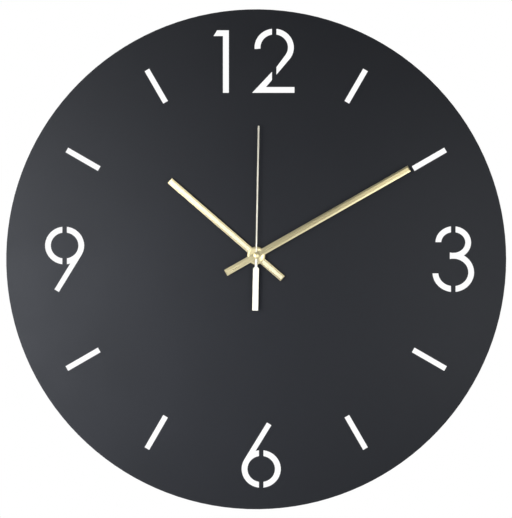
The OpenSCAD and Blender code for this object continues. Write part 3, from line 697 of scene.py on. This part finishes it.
def case_shell(abs_black):
    """The case with windows for the cover's clips and a finger notch under the battery."""
    low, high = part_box("case_front")
    window_l, window_w, window_depth = 6 * MM, 1.8 * MM, 0.7 * MM
    window_back = -2.6 * MM
    notch_w, notch_l, notch_h = 8 * MM, 6 * MM, 1.6 * MM
    shell = placed("case_shell", whole_faces("case_front"))
    windows = []
    for z in clip_heights():
        for edge, inward in ((low.x, 1), (high.x, -1)):
            span = sorted((edge - inward * window_depth, edge + inward * window_depth))
            windows.append(box_outline((span[0], z - window_l / 2), (span[1], z + window_l / 2)))
    shell = cut_away(shell, prisms("windows", windows, window_back, window_back - window_w))
    notch = turned("finger_notch", [(-1, 0), (-1, 1), (1, 1), (1, 0)], (0, 0, 0), "X", 48)
    for corner in notch.data.vertices:
        along, aside, out = corner.co
        corner.co = (notch_w * out, notch_l * aside, low.z + notch_h * along)
    shell = cut_away(shell, turned_out(notch))
    ease(shell, 0.25 * MM, 30)
    finished(shell, abs_black, "clock_body", "black_abs", "case_front")


def turned_out(piece):
    """Recalculates a closed piece's faces outwards."""
    work = bmesh.new()
    work.from_mesh(piece.data)
    bmesh.ops.recalc_face_normals(work, faces=work.faces)
    work.to_mesh(piece.data)
    work.free()
    return piece


def cover_clips(abs_black):
    """The cover's tongues, which show in the case's windows."""
    low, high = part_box("case_front")
    tongue_l, tongue_w, tongue_t = 5.4 * MM, 1.3 * MM, 0.9 * MM
    sunk = 0.65 * MM
    at_y = -3.5 * MM
    points = [(x, at_y, z) for z in clip_heights() for x in (low.x + sunk, high.x - sunk)]
    clips = Recipe("cover_clips", Length=tongue_l, Width=tongue_w, Thickness=tongue_t)
    size = clips.node("ShaderNodeCombineXYZ", X=clips.size["Thickness"],
                      Y=clips.size["Width"], Z=clips.size["Length"])
    tongue = clips.node("GeometryNodeMeshCube", Size=size.outputs[0])
    spread = clips.node("GeometryNodeInstanceOnPoints", Points=clips.size["Points"],
                        Instance=tongue.outputs["Mesh"])
    tongues = clips.serve("cover_clips", spread.outputs[0], abs_black, points)
    ease(tongues, 0.15 * MM, 30)
    finished(tongues, abs_black, "clock_body", "black_abs")


def setting_arrow(middle, inner, outer):
    """A bent double-headed arrow over the knob, as (x, z) points."""
    half_turn, head_turn, head = 26, 9, 0.9 * MM
    steps = 16
    angles = [half_turn - 2 * half_turn * i / steps for i in range(steps + 1)]

    def point(angle, radius):
        turn = math.radians(90 + angle)
        return (middle[0] + radius * math.cos(turn), middle[1] + radius * math.sin(turn))

    over = [point(angle, outer) for angle in angles]
    under = [point(angle, inner) for angle in reversed(angles)]
    centre_r = (inner + outer) / 2
    right = [point(-half_turn, outer + head), point(-half_turn - head_turn, centre_r),
             point(-half_turn, inner - head)]
    left = [point(half_turn, inner - head), point(half_turn + head_turn, centre_r),
            point(half_turn, outer + head)]
    return over + right + under + left


def case_cover(abs_black):
    """Rear cover with sunk marks: setting arrow, plus, minus, a bare panel and ejector pins."""
    low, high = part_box("case_back")
    knob_low, knob_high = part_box("set_knob")
    knob = ((knob_low.x + knob_high.x) / 2, (knob_low.z + knob_high.z) / 2)
    sunk, clear = 0.3 * MM, 1 * MM
    sign_x, sign_z = high.x - 6.5 * MM, low.z + 4.5 * MM
    arm, half = 2.2 * MM, 0.45 * MM
    plus = [(sign_x + x, sign_z + z) for x, z in (
        (-arm, -half), (-half, -half), (-half, -arm), (half, -arm), (half, -half), (arm, -half),
        (arm, half), (half, half), (half, arm), (-half, arm), (-half, half), (-arm, half))]
    minus = box_outline((-sign_x - arm, sign_z - half), (-sign_x + arm, sign_z + half))
    panel = box_outline((low.x + 3 * MM, knob[1] - 7 * MM), (low.x + 14 * MM, knob[1] + 9 * MM))
    pin_r, inset, over_signs = 1.2 * MM, 4 * MM, 10 * MM
    pins = [round_outline((x, z), pin_r) for x in (low.x + inset, high.x - inset)
            for z in (high.z - inset, low.z + over_signs)]
    arrow = setting_arrow(knob, inner=9.6 * MM, outer=10.6 * MM)
    cover = placed("case_cover", whole_faces("case_back"))
    cover = cut_away(cover, prisms("marks", [arrow, plus, minus, panel] + pins, clear, -sunk))
    ease(cover, 0.12 * MM, 30)
    finished(cover, abs_black, "clock_body", "black_abs", "case_back")


def setting_knob():
    """Knob with a sunk ring between its rim and its boss."""
    low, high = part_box("set_knob")
    middle = ((low.x + high.x) / 2, 0, (low.z + high.z) / 2)
    sunk, clear = 0.9 * MM, -1 * MM
    ring = turned("knob_ring", [(sunk, 2.4 * MM), (sunk, 5.4 * MM), (clear, 5.9 * MM),
                                (clear, 2 * MM)], middle, "Y")
    knob = cut_away(placed("set_wheel", whole_faces("set_knob")), ring)
    ease(knob, 0.12 * MM, 35)
    cream = spark_textured("knob_plastic", (0.5, 0.49, 0.45), 0.5, 0.3 * MM)
    finished(knob, cream, "motion", "knob_plastic", "set_knob")


# ---- battery and contacts ----


def battery_cell():
    """Drawn can with rolled shoulders and a nub, in a shrink sleeve whose ends turn in."""
    low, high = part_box("battery_can")
    sleeve_low, sleeve_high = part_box("battery_sleeve")
    middle = (0, (sleeve_low.y + sleeve_high.y) / 2, (sleeve_low.z + sleeve_high.z) / 2)
    sleeve_r = (sleeve_high.z - sleeve_low.z) / 2
    film_t = 0.15 * MM
    can_r = sleeve_r - film_t
    nub_r, nub_h = 2.7 * MM, 1.4 * MM
    shoulder = high.x - nub_h
    foot, roll = low.x, 0.7 * MM
    dished, sunk = foot + 0.25 * MM, shoulder - 0.5 * MM
    can = turned("battery_shell", [
        (dished, 0), (dished, 4.4 * MM), (foot, 4.8 * MM), (foot, can_r - roll),
        (foot + 0.2 * roll, can_r - 0.3 * roll), (foot + roll, can_r), (shoulder - roll, can_r),
        (shoulder - 0.2 * roll, can_r - 0.3 * roll), (shoulder, can_r - roll),
        (shoulder, 4.6 * MM), (sunk, 4.2 * MM), (sunk, 3.3 * MM),
        (shoulder, nub_r), (high.x - 0.3 * MM, nub_r), (high.x - 0.08 * MM, nub_r - 0.1 * MM),
        (high.x, nub_r - 0.35 * MM), (high.x, 0)], middle, "X")
    steel = nickel("nickel_can", (0.7, 0.7, 0.71), (9 * MM, 0.12 * MM, 0.12 * MM))
    finished(softened(can, 50), steel, "battery", "nickel_can", "battery_can")
    from_x, to_x = sleeve_low.x, sleeve_high.x
    wrap = turned("battery_wrap", [
        (from_x, can_r - roll), (from_x - 0.1 * MM, can_r - 0.5 * roll),
        (from_x + 0.25 * roll, sleeve_r - 0.12 * roll), (from_x + roll, sleeve_r),
        (to_x - roll, sleeve_r), (to_x - 0.25 * roll, sleeve_r - 0.12 * roll),
        (to_x + 0.1 * MM, can_r - 0.5 * roll), (to_x, can_r - roll),
        (to_x - roll, can_r), (from_x + roll, can_r)], middle, "X")
    ring_from, ring_to = to_x - 9 * MM, to_x - 7 * MM
    ink = shrink_sleeve(ring_from, ring_to)
    finished(softened(wrap, 50), ink, "battery", "printed_sleeve", "battery_sleeve")


def contacts():
    """The two bent strips that the battery sits between."""
    strip = nickel("nickel_strip", (0.66, 0.65, 0.61), (0.12 * MM, 0.12 * MM, 6 * MM))
    for node, name in (("contact_positive", "plus_contact"), ("contact_negative", "minus_spring")):
        finished(eased(node, name, 0.05 * MM, 30), strip, "clock_body", "nickel_strip", node)


# ---- inside the case ----


def coil_turns():
    """The coil's winding, turn beside turn on a layer that is already full."""
    low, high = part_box("coil_winding")
    middle = (low + high) / 2
    length, radius = high.x - low.x, (high.z - low.z) / 2
    wire_r = 0.1 * MM
    turns = int(length / (2 * wire_r))
    coil = Recipe("coil_turns", Turns=float(turns), Radius=radius - wire_r,
                  Length=length - 2 * wire_r, Wire=wire_r, Layer=radius - wire_r)
    helix = coil.node("GeometryNodeCurveSpiral", Resolution=24, Rotations=coil.size["Turns"],
                      Start_Radius=coil.size["Radius"], End_Radius=coil.size["Radius"],
                      Height=coil.size["Length"])
    section = coil.node("GeometryNodeCurvePrimitiveCircle", Resolution=6,
                        Radius=coil.size["Wire"])
    wire = coil.node("GeometryNodeCurveToMesh", Curve=helix.outputs[0],
                     Profile_Curve=section.outputs[0])
    full = coil.node("GeometryNodeMeshCylinder", Vertices=48, Radius=coil.size["Layer"],
                     Depth=coil.size["Length"])
    lift = coil.node("ShaderNodeMath", Value=coil.size["Length"])
    lift.operation = "MULTIPLY"
    lift.inputs[1].default_value = 0.5
    up = coil.node("ShaderNodeCombineXYZ", Z=lift.outputs[0])
    raised = coil.node("GeometryNodeTransform", Geometry=full.outputs["Mesh"],
                       Translation=up.outputs[0])
    both = coil.tree.nodes.new("GeometryNodeJoinGeometry")
    coil.tree.links.new(wire.outputs[0], both.inputs[0])
    coil.tree.links.new(raised.outputs[0], both.inputs[0])
    laid = coil.node("GeometryNodeTransform", Geometry=both.outputs[0],
                     Translation=(low.x + wire_r, middle.y, middle.z),
                     Rotation=(0, math.radians(90), 0))
    copper = enamelled_copper()
    winding = softened(coil.serve("coil_turns", laid.outputs[0], copper), 60)
    finished(winding, copper, "clock_body", "copper_wire", "coil_winding")


def inside():
    """Gives the works in the case their finishes, and winds the coil."""
    wheels = moulded("natural_pom", (0.84, 0.81, 0.72), 0.36, (2 * MM,) * 3)
    coated(wheels, "rotor_pinion", "fifth_wheel", "second_wheel", "third_wheel",
           "centre_wheel", "motion_wheel", "hour_wheel")
    coated(moulded("white_abs", (0.78, 0.77, 0.72), 0.42, (9 * MM, 9 * MM, 3 * MM)), "gear_plate")
    coated(moulded("bobbin_plastic", (0.05, 0.2, 0.09), 0.4, (1 * MM, 3 * MM, 3 * MM)),
           "coil_bobbin")
    coated(solder_mask(), "circuit_board")
    coated(potting_epoxy(), "chip_blob")
    coated(soft_iron(), "coil_core", "stator_plate")
    coated(bright_steel(), "stator_screws", "quartz_crystal")
    coated(sintered_magnet(), "rotor_magnet")
    coil_turns()


def movement():
    """Everything behind the dial."""
    abs_black = spark_textured("black_abs", (0.016, 0.0165, 0.018), 0.5, 0.28 * MM)
    hanger(black_rubber())
    case_shell(abs_black)
    cover_clips(abs_black)
    case_cover(abs_black)
    setting_knob()
    battery_cell()
    contacts()
    inside()


# ---- studio ----


def softbox(name, at, target, size, power, colour=(1, 1, 1)):
    """Soft square light at a point, aimed at a target."""
    light = bpy.data.lights.new(name, "AREA")
    light.shape = "SQUARE"
    light.size = size
    light.energy = power
    light.color = colour
    lamp = bpy.data.objects.new(name, light)
    bpy.context.scene.collection.objects.link(lamp)
    lamp.location = at
    lamp.rotation_euler = (Vector(target) - Vector(at)).to_track_quat("-Z", "Y").to_euler()
    lamp.visible_camera = False


def seen_white(nodes, link, softer, surface):
    """White to the camera, and the softer shader to everything that the light falls on."""
    white = nodes.new("ShaderNodeBackground" if softer.name == "Background" else
                      "ShaderNodeEmission")
    white.inputs["Color"].default_value = (1, 1, 1, 1)
    seen = nodes.new("ShaderNodeLightPath")
    mix = nodes.new("ShaderNodeMixShader")
    link(seen.outputs["Is Camera Ray"], mix.inputs["Fac"])
    link(softer, mix.inputs[1])
    link(white.outputs[0], mix.inputs[2])
    link(mix.outputs["Shader"], surface)


def studio_floor(glow):
    """A plain white sweep of floor well under the clock."""
    half = 6
    drop = CAD_BOX[0].z - 600 * MM
    mesh = bpy.data.meshes.new("studio_floor")
    corners = [(-half, -half), (half, -half), (half, half), (-half, half)]
    mesh.from_pydata([(x, y, drop) for x, y in corners], [], [(0, 1, 2, 3)])
    floor = placed("studio_floor", mesh)
    paper = bpy.data.materials.new("studio_paper")
    paper.use_nodes = True
    nodes, link = paper.node_tree.nodes, paper.node_tree.links.new
    shader = nodes["Principled BSDF"]
    shader.inputs["Base Color"].default_value = (0.9, 0.9, 0.9, 1)
    shader.inputs["Roughness"].default_value = 0.9
    shader.inputs["Emission Color"].default_value = (1, 1, 1, 1)
    shader.inputs["Emission Strength"].default_value = glow
    seen_white(nodes, link, shader.outputs["BSDF"], nodes["Material Output"].inputs["Surface"])
    mesh.materials.append(paper)


def studio_room(fill):
    """White walls, and an even fill light of that strength from all round."""
    world = bpy.data.worlds.new("studio_room")
    bpy.context.scene.world = world
    world.use_nodes = True
    nodes, link = world.node_tree.nodes, world.node_tree.links.new
    even = nodes["Background"]
    even.inputs["Color"].default_value = (0.98, 0.99, 1.0, 1)
    even.inputs["Strength"].default_value = fill
    seen_white(nodes, link, even.outputs["Background"], nodes["World Output"].inputs["Surface"])


def camera():
    """Straight in front of the dial, far enough back to see it almost without perspective."""
    dial_low, dial_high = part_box("dial_plate")
    centre = (dial_low + dial_high) / 2
    distance = 2.2
    framed = 414.37 * MM
    aside, above = -0.19 * MM, 0.21 * MM
    data = bpy.data.cameras.new("camera")
    data.sensor_width = 36
    data.lens = data.sensor_width * distance / framed
    data.clip_start = 0.05
    viewer = bpy.data.objects.new("camera", data)
    bpy.context.scene.collection.objects.link(viewer)
    viewer.location = (centre.x + aside, dial_low.y - distance, centre.z + above)
    viewer.rotation_euler = (math.radians(90), 0, 0)
    bpy.context.scene.camera = viewer


def lights():
    """Plain softboxes: seven in front, which grade the dial and edge the hands, four behind."""
    face = (0, CAD_BOX[0].y, 0)
    for name, at, size, power in (
        ("softbox_left", (-0.36, -0.84, -0.03), 0.3, 3.81),
        ("softbox_right", (0.256, -0.429, -0.025), 0.3, 0.6),
        ("softbox_upper_left", (-0.693, -1.024, 0.4), 0.5, 2.08),
        ("softbox_upper_right", (0.4, -1.024, 0.693), 0.5, 1.2),
        ("softbox_below", (0, -1.205, -0.487), 0.4, 0.75),
        ("softbox_high_left", (-0.816, -0.746, 0.685), 0.5, 2.36),
        ("softbox_rear_right", (0.42, 0.95, 0.12), 0.4, 4),
        ("softbox_rear_left", (-0.6, 1.1, 0.45), 0.6, 9),
        ("softbox_rear_above", (0.15, 1.0, 0.95), 0.6, 6),
        ("softbox_rear_below", (-0.2, 1.1, -0.5), 0.5, 2.5),
    ):
        softbox(name, at, face, size, power)
    daylight = (0.92, 0.98, 1.22)
    softbox("softbox_glint", (-0.184, -1.477, -0.184), face, 0.3, 1.42, daylight)


camera()
dial()
hands()
hub()
movement()
studio_floor(0.2)
studio_room(0.1)
lights()
bpy.context.scene.view_settings.view_transform = "Standard"
